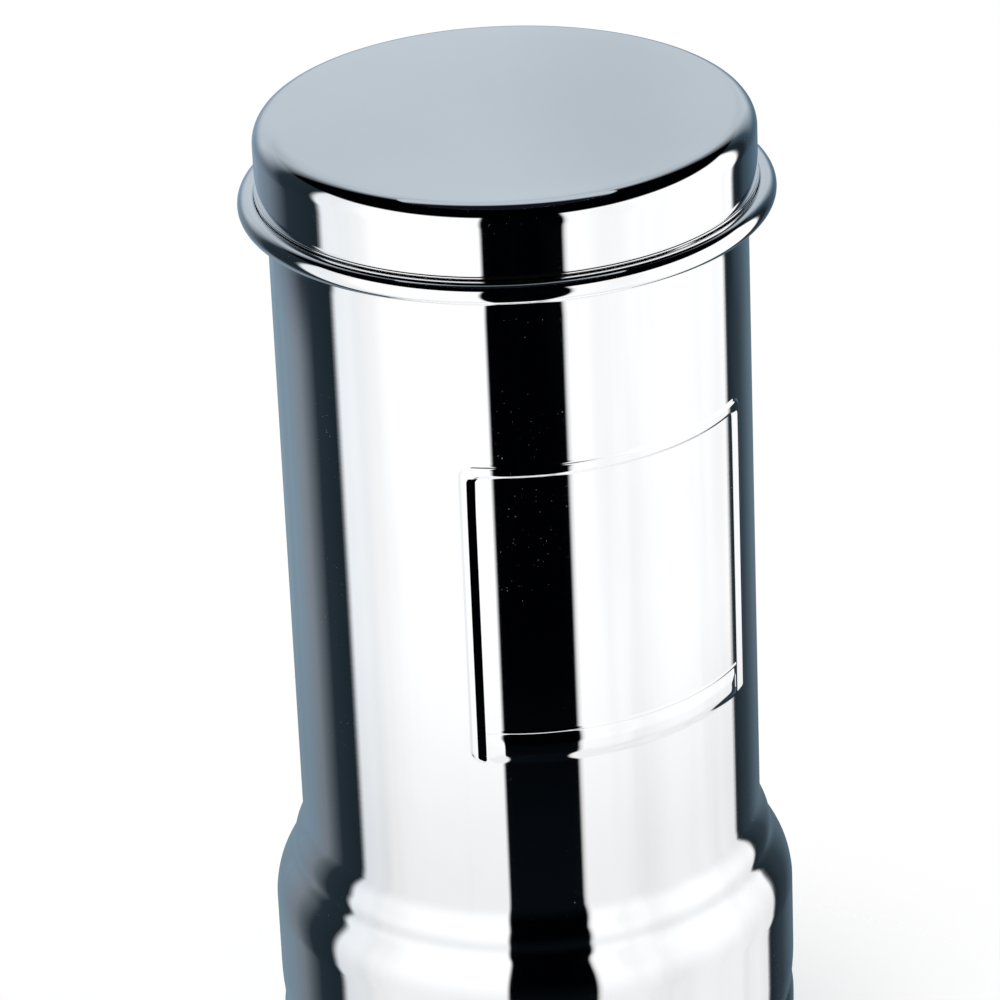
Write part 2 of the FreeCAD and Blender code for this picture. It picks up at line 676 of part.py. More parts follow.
def make_bonnet():
    """Bonnet: screws over the barrel, holds the spring down and guides the rod."""
    body = new_body("tap_bonnet")
    place(body, NOTHING, tap_axis, S["tap_height"])
    foot = S["barrel_neck"] + S["bonnet_gap"]
    ceiling = S["bonnet_top"] - S["bonnet_roof"]
    step = S["barrel_top"] + S["bonnet_gap"]
    turned(body, "bonnet_cap", [
        (S["barrel_thread"] + S["thread_gap"], foot),
        (S["bonnet_radius"], foot),
        (S["bonnet_radius"], S["bonnet_top"] - S["bonnet_round"]),
        (S["bonnet_radius"] - S["bonnet_round"], S["bonnet_top"], S["bonnet_round"], 1),
        (S["rod_radius"] + S["rod_gap"], S["bonnet_top"]),
        (S["rod_radius"] + S["rod_gap"], ceiling),
        (S["chamber_radius"], ceiling),
        (S["chamber_radius"], step),
        (S["barrel_thread"] + S["thread_gap"], step),
    ])
    document.recompute()
    volume = body.Shape.Volume
    sketch = new_sketch(body, "flute_circle", "XY_Plane")
    draw_circle(sketch, S["bonnet_radius"] + S["flute_radius"] * 0.5, NOTHING, S["flute_radius"])
    flute = padded(body, "flute", sketch, S["bonnet_top"] - S["bonnet_round"], cut=True, backwards=True)
    volume = cut_volume(body, volume, "flute")
    pattern = body.newObject("PartDesign::PolarPattern", "flutes")
    pattern.Originals = [flute]
    pattern.Axis = (sketch, ["N_Axis"])
    pattern.Angle = 360
    pattern.Occurrences = FLUTES
    body.Tip = pattern
    cut_volume(body, volume, "flutes")
    return body


def make_valve():
    """Valve: the rod with its collar, the rubber seal under it and the pin through its head."""
    rod = new_body("valve_rod")
    place(rod, NOTHING, tap_axis, S["tap_height"])
    collar_top = S["collar_rise"] + S["collar_height"]
    rod_top = S["pin_rise"] + S["rod_spare"]
    turned(rod, "rod", [
        (NOTHING, -S["collar_rise"]),
        (S["peg_radius"], -S["collar_rise"]),
        (S["peg_radius"], S["collar_rise"]),
        (S["collar_radius"], S["collar_rise"]),
        (S["collar_radius"], collar_top),
        (S["rod_radius"], collar_top),
        (S["rod_radius"], rod_top - S["rod_radius"] * 0.3),
        (S["rod_radius"] * 0.7, rod_top, S["rod_radius"] * 0.3, 1),
        (NOTHING, rod_top),
    ])
    document.recompute()
    volume = rod.Shape.Volume
    sketch = new_sketch(rod, "rod_pin_circle", "YZ_Plane")
    draw_circle(sketch, NOTHING, S["pin_rise"], S["pin_radius"])
    padded(rod, "rod_pin_hole", sketch, S["hub_half"] * 2, midplane=True, cut=True)
    cut_volume(rod, volume, "rod_pin_hole")

    seal = new_body("valve_seal")
    place(seal, NOTHING, tap_axis, S["tap_height"])
    seal_foot = S["seal_gap"] - S["seat_drop"]
    bead = (S["chamber_radius"] - S["water_bore"]) * 0.5
    turned(seal, "seal", [
        (NOTHING, seal_foot),
        (S["seal_radius"] - bead, seal_foot),
        (S["seal_radius"], seal_foot + bead, bead, 1),
        (S["seal_radius"], NOTHING),
        (S["collar_radius"], S["collar_rise"]),
        (S["peg_radius"], S["collar_rise"]),
        (S["peg_radius"], -S["collar_rise"]),
        (NOTHING, -S["collar_rise"]),
    ])

    pin = new_body("lever_pin")
    place(pin, NOTHING, tap_axis, S["tap_height"] + S["pin_rise"])
    sketch = new_sketch(pin, "pin_circle", "YZ_Plane")
    draw_circle(sketch, NOTHING, NOTHING, S["pin_radius"])
    padded(pin, "pin", sketch, S["hub_half"] * 2, midplane=True)
    return [rod, seal, pin]


def make_return_spring():
    """Return spring between the rod's collar and the bonnet's roof."""
    body = new_body("return_spring")
    place(body, NOTHING, tap_axis, S["tap_height"])
    start = S["collar_rise"] + S["collar_height"] + S["wire_radius"] + S["seal_gap"]
    finish = S["bonnet_top"] - S["bonnet_roof"] - S["wire_radius"] - S["seal_gap"]
    sketch = new_sketch(body, "wire_circle", "XZ_Plane")
    draw_circle(sketch, S["coil_radius"], start, S["wire_radius"])
    coil = body.newObject("PartDesign::AdditiveHelix", "coil")
    coil.Profile = sketch
    coil.ReferenceAxis = (sketch, ["V_Axis"])
    coil.Mode = 0
    coil.Pitch = S["coil_pitch"].value
    coil.setExpression("Pitch", S["coil_pitch"].formula)
    coil.Height = (finish - start).value
    coil.setExpression("Height", (finish - start).formula)
    coil.Angle = 0
    return body


def cam_point(angle, sine, cosine, reach):
    """A point of the lever's cam, an involute: its lift grows evenly with the tilt."""
    lift = reach + S["cam_growth"] * angle
    return (-(lift * sine + S["cam_growth"] * cosine), S["cam_growth"] * sine - lift * cosine)


def make_lever():
    """Lever: two cam cheeks that straddle the rod and lift it as the grip is pulled forward."""
    body = new_body("tap_lever")
    place(body, NOTHING, tap_axis, S["tap_height"] + S["pin_rise"])
    reach = S["pin_rise"] - S["bonnet_top"] - S["foot_gap"]
    first = cam_point(RADIANS30, SIN30, COS30, reach)
    second = cam_point(RADIANS30 * 2, SIN60, COS60, reach)
    tip = S["grip_thickness"] * 0.5
    sketch = new_sketch(body, "lever_side", "YZ_Plane")
    draw_outline(sketch, [
        (S["hub_back"], -reach),
        (-S["cam_growth"], -reach),
        (first[0], first[1], reach + S["cam_growth"] * (RADIANS30 * 0.5), -1),
        (second[0], second[1], reach + S["cam_growth"] * (RADIANS30 * 1.5), -1),
        (second[0] - tip * 0.2, S["slot_rise"]),
        (-S["grip_reach"], S["grip_rise"] - tip, S["grip_rise"] * 3, 1),
        (-(S["grip_reach"] - tip), S["grip_rise"], tip, -1),
        (-(S["grip_reach"] - tip * 2), S["grip_rise"] - tip, tip, -1),
        (-S["hub_back"] + tip, S["slot_rise"] + tip * 2, S["grip_rise"] * 2, -1),
        (S["hub_back"], S["slot_rise"] - tip, S["hub_back"] * 2, -1),
    ])
    padded(body, "lever_block", sketch, S["hub_half"] * 2, midplane=True)
    document.recompute()
    volume = body.Shape.Volume
    sketch = new_sketch(body, "slot_side", "YZ_Plane")
    draw_rectangle(sketch, -S["grip_reach"], -(reach + 1), S["hub_back"] + 1, S["slot_rise"])
    padded(body, "rod_slot", sketch, S["slot_half"] * 2, midplane=True, cut=True)
    volume = cut_volume(body, volume, "rod_slot")
    sketch = new_sketch(body, "pin_hole_circle", "YZ_Plane")
    draw_circle(sketch, NOTHING, NOTHING, S["pin_radius"] + S["pin_gap"])
    padded(body, "pin_hole", sketch, S["hub_half"] * 4, midplane=True, cut=True)
    cut_volume(body, volume, "pin_hole")
    return body


pieces = [make_lower_vessel(), make_upper_vessel(), make_upper_floor(), make_lid()]
for candle_index in range(CANDLES):
    pieces += make_candle_set(candle_index)
pieces += [make_tap_body(), make_back_nut(), make_bonnet(), make_return_spring(), make_lever()]
pieces += make_gaskets() + make_valve()
document.recompute()

for item in document.Objects:
    if "Invalid" in item.State or "Error" in item.State:
        raise RuntimeError(f"{item.Label} did not build: {item.State}")
for piece in pieces:
    if piece.Shape.isNull() or not piece.Shape.isValid() or len(piece.Shape.Solids) != 1:
        raise RuntimeError(f"{piece.Label} is not one valid solid")

os.makedirs("parts", exist_ok=True)
for piece in pieces:
    piece.Shape.exportStep(f"parts/{piece.Label}.step")
    box = piece.Shape.BoundBox
    print(f"{piece.Label:20s} {piece.Shape.Volume / 1000:9.2f} cm3"
          f"  y {box.YMin:.1f}..{box.YMax:.1f}  z {box.ZMin:.1f}..{box.ZMax:.1f}")
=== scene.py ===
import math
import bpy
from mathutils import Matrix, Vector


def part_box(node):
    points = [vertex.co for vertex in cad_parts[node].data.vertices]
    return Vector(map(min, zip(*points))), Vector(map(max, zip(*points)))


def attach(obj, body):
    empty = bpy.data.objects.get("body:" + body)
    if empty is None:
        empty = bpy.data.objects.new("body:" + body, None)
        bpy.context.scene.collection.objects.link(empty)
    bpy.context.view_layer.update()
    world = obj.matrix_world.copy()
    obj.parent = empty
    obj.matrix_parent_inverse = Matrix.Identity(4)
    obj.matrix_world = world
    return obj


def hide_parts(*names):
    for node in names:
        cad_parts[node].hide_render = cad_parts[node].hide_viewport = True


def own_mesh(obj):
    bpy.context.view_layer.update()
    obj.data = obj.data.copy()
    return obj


bl_info = {
    "name": "Gravity water filter",
    "version": (1, 0, 0),
    "blender": (4, 5, 0),
    "location": "3D View > Sidebar > Filter",
    "description": "Dresses the stacked steel water filter, its candles and its lever tap",
    "category": "Object",
}

import bmesh
import bpy
from bpy.props import FloatProperty, FloatVectorProperty, IntProperty, PointerProperty
from mathutils import Matrix, Vector

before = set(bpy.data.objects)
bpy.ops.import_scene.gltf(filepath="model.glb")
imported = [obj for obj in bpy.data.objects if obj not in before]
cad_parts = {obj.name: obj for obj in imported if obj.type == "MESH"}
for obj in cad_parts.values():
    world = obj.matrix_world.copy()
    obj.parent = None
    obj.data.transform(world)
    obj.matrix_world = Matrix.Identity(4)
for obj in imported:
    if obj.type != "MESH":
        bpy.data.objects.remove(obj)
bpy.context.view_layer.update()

LOWER_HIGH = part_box("lower_vessel")[1]
UPPER_LOW, UPPER_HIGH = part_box("upper_vessel")
LID_LOW, LID_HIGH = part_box("lid")

MM = 0.001
FULL_TURN = math.tau
BACK = math.pi / 2
CANDLES = 4
STORE = {}

TENT_RADIUS, TENT_HEIGHT, CARD_TOP = 0.3, 1.16, 0.65
CARD_EDGES = (-47, -6.4, 12.4, 61.6)
SIDE_TONES = (-72, -63, -55.5, 70, 78)
WHITE, DIM, BLACK = (1.1, 1.1, 1.1), (0.88, 0.92, 0.95), (0.0003, 0.0004, 0.0008)
NAVY, SLATE, PALE = (0.012, 0.02, 0.027), (0.22, 0.31, 0.37), (0.56, 0.63, 0.69)


class FilterSizes(bpy.types.PropertyGroup):
    """Sizes of the vessels, the lid and the tap."""

    sheet: FloatProperty(name="Sheet", description="Thickness of the vessel sheet",
                         default=0.8 * MM, unit="LENGTH", precision=4)
    tube_radius: FloatProperty(name="Tube radius", description="Outside of the upper vessel's tube",
                               default=UPPER_HIGH.x - 12.9 * MM, unit="LENGTH", precision=4)
    roll_radius: FloatProperty(name="Rim roll", description="Outside radius of the rolled rim",
                               default=4.6 * MM, unit="LENGTH", precision=4)
    roll_middle: FloatProperty(name="Rim roll's radius", description="Axis to the middle of the roll",
                               default=UPPER_HIGH.x - 6.3 * MM, unit="LENGTH", precision=4)
    roll_height: FloatProperty(name="Rim roll's height", description="Height of the middle of the roll",
                               default=UPPER_HIGH.z - 6.9 * MM, unit="LENGTH", precision=4)
    frame_relief: FloatProperty(name="Frame relief", description="How far the pressed frame stands out",
                                default=0.9 * MM, unit="LENGTH", precision=4)
    frame_half: FloatProperty(name="Frame half width", description="Half of the pressed frame's width",
                              default=62.2 * MM, unit="LENGTH", precision=4)
    frame_height: FloatProperty(name="Frame height", description="Pressed frame from top to bottom",
                                default=130.3 * MM, unit="LENGTH", precision=4)
    frame_top: FloatProperty(name="Frame top", description="Height of the pressed frame's top",
                             default=UPPER_HIGH.z - 81.9 * MM, unit="LENGTH", precision=4)
    lid_edge: FloatProperty(name="Lid edge", description="Height of the lid's lower edge, on the roll",
                            default=UPPER_HIGH.z - 2.4 * MM, unit="LENGTH", precision=4)
    lid_round: FloatProperty(name="Lid corner", description="Rounding of the lid's top corner",
                             default=9 * MM, unit="LENGTH", precision=4)
    turn_steps: IntProperty(name="Steps", description="Steps round a turned shell",
                            default=256, min=64, max=512)
    seen_from: FloatProperty(name="Seen from", description="How far left of the tap the camera stands",
                             default=math.radians(26.5), subtype="ANGLE")


class FilterFinish(bpy.types.PropertyGroup):
    """Colours of the finishes and of the studio."""

    steel: FloatVectorProperty(name="Steel", description="Polished stainless steel", subtype="COLOR",
                               size=3, default=(0.94, 0.945, 0.955), min=0, max=1)
    chrome: FloatVectorProperty(name="Chrome", description="Plating of the tap", subtype="COLOR",
                                size=3, default=(0.88, 0.89, 0.9), min=0, max=1)
    lever: FloatVectorProperty(name="Lever", description="Moulded black plastic", subtype="COLOR",
                               size=3, default=(0.012, 0.012, 0.014), min=0, max=1)
    ceramic: FloatVectorProperty(name="Ceramic", description="Porous candle ceramic", subtype="COLOR",
                                 size=3, default=(0.86, 0.83, 0.76), min=0, max=1)
    plastic: FloatVectorProperty(name="White plastic", description="Candle cups and wing nuts",
                                 subtype="COLOR", size=3, default=(0.8, 0.81, 0.82), min=0, max=1)
    rubber: FloatVectorProperty(name="Rubber", description="Gaskets, washers and the valve seal",
                                subtype="COLOR", size=3, default=(0.03, 0.03, 0.032), min=0, max=1)
    floor: FloatVectorProperty(name="Floor", description="Pale studio floor", subtype="COLOR",
                               size=3, default=(0.96, 0.965, 0.97), min=0, max=1)


class Value:
    """A shader value that takes Python's own operators."""

    def __init__(self, graph, socket):
        self.graph, self.socket = graph, socket

    def maths(self, operation, *others):
        return self.graph.node("ShaderNodeMath", {"operation": operation}, dict(enumerate((self, *others))))

    def outputs(self, *names):
        """Other outputs of the same node."""
        return [Value(self.graph, self.socket.node.outputs[name]) for name in names]

    def __add__(self, other):
        return self.maths("ADD", other)

    def __sub__(self, other):
        return self.maths("SUBTRACT", other)

    def __mul__(self, other):
        return self.maths("MULTIPLY", other)

    def __truediv__(self, other):
        return self.maths("DIVIDE", other)

    __radd__ = __add__


class Graph:
    """The nodes of one material or world."""

    def __init__(self, owner):
        owner.use_nodes = True
        self.tree = owner.node_tree
        self.tree.nodes.clear()

    def node(self, kind, settings=None, inputs=None, output=0):
        """Add a node, set it up, feed it, and give one of its outputs."""
        made = self.tree.nodes.new(kind)
        for key, value in (settings or {}).items():
            if key == "stops":
                ramp = made.color_ramp.elements
                while len(ramp) > 1:
                    ramp.remove(ramp[-1])
                for index, (place, colour) in enumerate(value):
                    stop = ramp[0] if index == 0 else ramp.new(place)
                    stop.position, stop.color = place, (*colour, 1)
            else:
                setattr(made, key, value)
        for key, value in (inputs or {}).items():
            if isinstance(value, Value):
                self.tree.links.new(value.socket, made.inputs[key])
            else:
                made.inputs[key].default_value = value
        return Value(self, made.outputs[output]) if made.outputs else None

    def place(self, scale=(1, 1, 1)):
        """The piece's own coordinates, stretched by scale."""
        where = self.node("ShaderNodeTexCoord", output="Object")
        return self.node("ShaderNodeMapping", inputs={"Vector": where, "Scale": scale})

    def noise(self, where, scale, detail=2.0, rough=0.5):
        return self.node("ShaderNodeTexNoise", inputs={
            "Vector": where, "Scale": scale, "Detail": detail, "Roughness": rough})

    def fade(self, value, low, high, start=0.0, end=1.0):
        """Map a value from low..high to start..end, smoothly and held at the ends."""
        return self.node("ShaderNodeMapRange", {"interpolation_type": "SMOOTHSTEP"}, {
            "Value": value, "From Min": low, "From Max": high, "To Min": start, "To Max": end})

    def mix(self, factor, first, second):
        return self.node("ShaderNodeMix", {"data_type": "RGBA"}, {0: factor, 6: first, 7: second}, output=2)

    def bump(self, height, distance, strength=1.0):
        return self.node("ShaderNodeBump", inputs={
            "Height": height, "Distance": distance, "Strength": strength})

    def surface(self, **inputs):
        """A Principled surface on the output, with inputs named by words joined with underscores."""
        named = {key.replace("_", " "): value for key, value in inputs.items()}
        shader = self.node("ShaderNodeBsdfPrincipled", inputs=named)
        self.node("ShaderNodeOutputMaterial", inputs={"Surface": shader})


def rgba(colour):
    return (*colour, 1.0)


def new_material(name):
    material = bpy.data.materials.new(name)
    return material, Graph(material)


def shaded(colour, amount):
    """A colour made darker by an amount, as a plain colour."""
    return tuple(part * (1 - amount) for part in colour)


def polished_steel(colour):
    """Mirror-polished sheet: faint hoop-wise polishing lines, a slow ripple and a little dust."""
    material, graph = new_material("polished_steel")
    lines = graph.noise(graph.place((7, 7, 1100)), 1.0, detail=3)
    ripple = graph.noise(graph.place(), 16.0, detail=1)
    smear = graph.noise(graph.place(), 9.0, detail=4, rough=0.6)
    dust = graph.fade(graph.noise(graph.place(), 1500.0, detail=1), 0.765, 0.79)
    patches = graph.fade(graph.noise(graph.place(), 30.0, detail=2), 0.45, 0.62)
    rough = 0.028 + lines * 0.012 + graph.fade(smear, 0.5, 0.8) * 0.02 + dust * patches * 0.35
    tone = graph.mix(graph.fade(smear, 0.35, 0.75), rgba(colour), rgba(shaded(colour, 0.03)))
    height = lines * 0.25 + ripple * 0.75
    graph.surface(Base_Color=tone, Metallic=1.0, Roughness=rough, Normal=graph.bump(height, 0.00006, 0.5))
    return material


def tap_chrome(colour):
    """Bright plating with faint finger smears."""
    material, graph = new_material("tap_chrome")
    smear = graph.noise(graph.place(), 140.0, detail=4, rough=0.6)
    rough = graph.fade(smear, 0.4, 0.75, 0.035, 0.12)
    tone = graph.mix(graph.fade(smear, 0.4, 0.8), rgba(colour), rgba(shaded(colour, 0.06)))
    graph.surface(Base_Color=tone, Metallic=1.0, Roughness=rough,
                  Normal=graph.bump(graph.noise(graph.place(), 260.0), 0.00002, 0.4))
    return material


def turned_steel(colour):
    """Lathe-turned valve parts with fine rings round them."""
    material, graph = new_material("turned_steel")
    rings = graph.noise(graph.place((60, 60, 5200)), 1.0, detail=2)
    rough = graph.fade(rings, 0.3, 0.7, 0.16, 0.3)
    tone = graph.mix(rings, rgba(shaded(colour, 0.18)), rgba(shaded(colour, 0.08)))
    graph.surface(Base_Color=tone, Metallic=1.0, Roughness=rough, Normal=graph.bump(rings, 0.00003, 0.6))
    return material


def moulded_plastic(name, colour, gloss, grain, wear):
    """Moulded plastic: fine grain, and a slightly different tone where hands rub it."""
    material, graph = new_material(name)
    fine = graph.noise(graph.place(), grain, detail=3)
    broad = graph.noise(graph.place(), grain * 0.04, detail=3)
    rough = graph.fade(broad, 0.3, 0.7, gloss, gloss + 0.12) + fine * 0.05
    tone = graph.mix(graph.fade(broad, 0.3, 0.75), rgba(colour), rgba(wear))
    graph.surface(Base_Color=tone, Roughness=rough, Normal=graph.bump(fine, 0.00004, 0.5))
    return material


def candle_ceramic(colour):
    """Porous, unglazed ceramic: chalky, with fine grain, pores painted darker as painted shade in their
    pits, and a faint tide line.
    """
    material, graph = new_material("candle_ceramic")
    grain = graph.noise(graph.place(), 1400.0, detail=4, rough=0.7)
    # pore spots: the bump dents them, and the tone below paints shade into them
    pores_and_pore_shade = graph.fade(graph.noise(graph.place(), 620.0, detail=2), 0.66, 0.74)
    stain = graph.fade(graph.noise(graph.place((20, 20, 9)), 1.0, detail=4), 0.42, 0.72)
    tone = graph.mix(stain * 0.6, rgba(colour), rgba((colour[0] * 0.93, colour[1] * 0.89, colour[2] * 0.8)))
    # painted shade: the pores are painted darker here, as well as dented by the bump
    tone = graph.mix(pores_and_pore_shade * 0.5, tone, rgba(shaded(colour, 0.45)))
    graph.surface(Base_Color=tone, Roughness=0.86 + grain * 0.1,
                  Normal=graph.bump(grain - pores_and_pore_shade * 0.8, 0.0002, 0.7))
    return material


def gasket_rubber(colour):
    """Soft black rubber with a fine skin and pale bloom."""
    material, graph = new_material("gasket_rubber")
    skin = graph.noise(graph.place(), 1800.0, detail=3)
    bloom = graph.fade(graph.noise(graph.place(), 160.0, detail=3), 0.5, 0.75)
    tone = graph.mix(bloom * 0.5, rgba(colour), rgba((colour[0] * 2.2, colour[1] * 2.2, colour[2] * 2.2)))
    graph.surface(Base_Color=tone, Roughness=0.55 + bloom * 0.2, Normal=graph.bump(skin, 0.00005, 0.6))
    return material


def finishes():
    """Every finish of the object, made once."""
    if "finishes" not in STORE:
        look = bpy.context.scene.filter_finish
        lever, plastic = tuple(look.lever), tuple(look.plastic)
        STORE["finishes"] = {
            "polished_steel": polished_steel(tuple(look.steel)),
            "tap_chrome": tap_chrome(tuple(look.chrome)),
            "valve_steel": turned_steel(tuple(look.steel)),
            "lever_black": moulded_plastic("lever_black", lever, 0.2, 2200.0, tuple(c * 1.9 for c in lever)),
            "cup_plastic": moulded_plastic("cup_plastic", plastic, 0.42, 1600.0, shaded(plastic, 0.08)),
            "nut_plastic": moulded_plastic("nut_plastic", shaded(plastic, 0.04), 0.45, 1500.0,
                                           shaded(plastic, 0.12)),
            "candle_ceramic": candle_ceramic(tuple(look.ceramic)),
            "gasket_rubber": gasket_rubber(tuple(look.rubber)),
        }
    return STORE["finishes"]


class Outline:
    """A chain of (radius, height) points made of lines and arcs."""

    def __init__(self, radius, height):
        self.points = [(radius, height)]

    def line(self, radius, height, parts=1):
        """A straight run cut into equal parts."""
        first_r, first_h = self.points[-1]
        for part in range(1, parts + 1):
            share = part / parts
            self.points.append((first_r + (radius - first_r) * share, first_h + (height - first_h) * share))
        return self

    def arc(self, radius, height, curve, turn, parts=8):
        """The shorter arc to a point, turning left (1) or right (-1)."""
        first_r, first_h = self.points[-1]
        run_r, run_h = radius - first_r, height - first_h
        chord = math.hypot(run_r, run_h)
        rise = math.sqrt(max(curve ** 2 - chord ** 2 / 4, 0.0))
        centre_r = (first_r + radius) / 2 - turn * rise * run_h / chord
        centre_h = (first_h + height) / 2 + turn * rise * run_r / chord
        start = math.atan2(first_h - centre_h, first_r - centre_r)
        sweep = turn * 2 * math.asin(min(chord / 2 / curve, 1.0))
        for part in range(1, parts + 1):
            angle = start + sweep * part / parts
            self.points.append((centre_r + curve * math.cos(angle), centre_h + curve * math.sin(angle)))
        return self

    def tangent_arc(self, radius, height, turn, parts=8):
        """An arc that starts or ends along a vertical wall."""
        first_r, first_h = self.points[-1]
        depth, rise = abs(radius - first_r), abs(height - first_h)
        return self.arc(radius, height, (depth ** 2 + rise ** 2) / (2 * depth), turn, parts)


def soften(points, low, high, rounds):
    """Round the kinks of an outline between two of its points."""
    points = list(points)
    for _ in range(rounds):
        held = list(points)
        for index in range(low, high):
            before, here, after = held[index - 1], held[index], held[index + 1]
            points[index] = tuple((before[k] + 2 * here[k] + after[k]) / 4 for k in (0, 1))
    return points


def spin_outline(points, spins=None):
    """Turn a closed outline round the vertical axis, from the back, in spins of (angle, steps)."""
    spins = spins or [(FULL_TURN, bpy.context.scene.filter_sizes.turn_steps)]
    bm = bmesh.new()
    verts = [bm.verts.new((r * math.cos(BACK), r * math.sin(BACK), h)) for r, h in points]
    profile = verts + [bm.edges.new(pair) for pair in zip(verts, verts[1:] + verts[:1])]
    for angle, steps in spins:
        made = bmesh.ops.spin(bm, geom=profile, cent=(0, 0, 0), axis=(0, 0, 1), angle=angle,
                              steps=steps, use_merge=len(spins) == 1)
        profile = made["geom_last"]
    bmesh.ops.remove_doubles(bm, verts=bm.verts, dist=1e-6)
    bmesh.ops.dissolve_degenerate(bm, dist=1e-7, edges=bm.edges)
    bmesh.ops.recalc_face_normals(bm, faces=bm.faces)
    return bm


def finish_piece(bm, name, body, slot, nodes, sharp=32):
    """Turn a bmesh into a named piece that rides on its body and stands for its CAD nodes."""
    mesh = bpy.data.meshes.new(name)
    bm.to_mesh(mesh)
    bm.free()
    mesh.shade_smooth()
    mesh.set_sharp_from_angle(angle=math.radians(sharp))
    mesh.materials.append(finishes()[slot])
    piece = bpy.data.objects.new(name, mesh)
    bpy.context.scene.collection.objects.link(piece)
    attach(piece, body)
    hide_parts(*nodes)
    return piece


def dress_node(node, body, slot, bevel=0.0):
    """Show a CAD node through a smooth copy, with its hard edges eased where bevel says."""
    hard_angle, flat_angle = 0.6, math.radians(1.0)
    bm = bmesh.new()
    bm.from_mesh(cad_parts[node].data)
    bmesh.ops.remove_doubles(bm, verts=bm.verts, dist=2e-6)
    if bevel:
        bmesh.ops.dissolve_limit(bm, angle_limit=flat_angle, verts=bm.verts, edges=bm.edges)
        hard = [edge for edge in bm.edges
                if len(edge.link_faces) == 2 and edge.calc_face_angle() > hard_angle]
        bmesh.ops.bevel(bm, geom=hard, offset=bevel, segments=3, profile=0.5, affect="EDGES",
                        material=-1, clamp_overlap=True)
    return finish_piece(bm, f"{node}_shell", body, slot, [node])


def upper_outline(sizes):
    """The upper vessel's section, from the skirt up the outside, over the roll and down the inside."""
    sheet, tube, inside = sizes.sheet, sizes.tube_radius, sizes.tube_radius - sizes.sheet
    foot, band, tuck = UPPER_LOW.z, UPPER_HIGH.x, 1.4 * MM
    band_foot, band_top = foot + 17 * MM, foot + 48.5 * MM
    low_ridge, waist = band_top + 18.9 * MM, band_top + 24.3 * MM
    high_ridge, shoulder = band_top + 31 * MM, band_top + 40 * MM
    low_out, waist_out, high_out = 6.13 * MM, 4.37 * MM, 2.41 * MM
    section = Outline(band - tuck, foot)
    section.tangent_arc(band, band_foot, 1, 8).line(band, band_top, 8)
    first_soft = len(section.points) + 1
    section.tangent_arc(tube + low_out, low_ridge, 1, 14)
    section.arc(tube + waist_out, waist, 11 * MM, -1, 12)
    section.arc(tube + high_out, high_ridge, 15 * MM, 1, 12)
    section.tangent_arc(tube, shoulder, -1, 14)
    section.points = soften(section.points, first_soft, len(section.points) - 1, 6)

    # the tube, with close rows where the pressed frame's foot, pillow and top need them
    frame_top, frame_foot = sizes.frame_top, sizes.frame_top - sizes.frame_height
    section.line(tube, frame_foot - 1 * MM, 14).line(tube, frame_foot + 4 * MM, 22)
    section.line(tube, frame_foot + 11 * MM, 10).line(tube, frame_foot + 16 * MM, 24)
    section.line(tube, frame_top - 7 * MM, 14).line(tube, frame_top + 0.6 * MM, 34)

    # the flare and the rolled rim, whose sheet ends curled under the roll
    middle, rim, roll = sizes.roll_middle, sizes.roll_height, sizes.roll_radius
    skin, flare_foot = roll - sheet, rim - 8 * MM
    flare, flare_middle = middle - skin - tube, (flare_foot + rim) / 2
    curl_r, curl_h = math.cos(math.radians(130)), math.sin(math.radians(130))
    section.line(tube, flare_foot, 12)
    section.tangent_arc(tube + flare / 2, flare_middle, -1, 5).tangent_arc(tube + flare, rim, 1, 5)
    section.arc(middle, rim + skin, skin, -1, 5).arc(middle + skin, rim, skin, -1, 5)
    section.arc(middle + skin * curl_r, rim - skin * curl_h, skin, -1, 6)
    section.line(middle + roll * curl_r, rim - roll * curl_h)
    section.arc(middle + roll, rim, roll, 1, 12).arc(middle, rim + roll, roll, 1, 10)
    section.arc(middle - roll, rim, roll, 1, 10)

    # down the inside, one sheet in from the outside
    section.tangent_arc(inside + flare / 2, flare_middle, -1, 4).tangent_arc(inside, flare_foot, 1, 4)
    section.line(inside, shoulder, 10).tangent_arc(inside + high_out, high_ridge, 1, 4)
    section.arc(inside + waist_out, waist, 14.2 * MM, -1, 4)
    section.arc(inside + low_out, low_ridge, 11.8 * MM, 1, 4)
    section.tangent_arc(band - sheet, band_top, -1, 4).line(band - sheet, band_foot, 2)
    section.tangent_arc(band - tuck - sheet, foot, -1, 4)
    return section.points


def inset(x, z, low, high, corner):
    """How far a point lies inside an upright rounded rectangle from low to high (x, z)."""
    half_x, half_z = (high[0] - low[0]) / 2 - corner, (high[1] - low[1]) / 2 - corner
    far_x = abs(x - (low[0] + high[0]) / 2) - half_x
    far_z = abs(z - (low[1] + high[1]) / 2) - half_z
    return corner - math.hypot(max(far_x, 0.0), max(far_z, 0.0)) - min(max(far_x, far_z), 0.0)


def ramp(distance, width):
    """A smooth step from 0 to 1 across a width."""
    share = min(max(distance / width, 0.0), 1.0)
    return share * share * (3 - 2 * share)


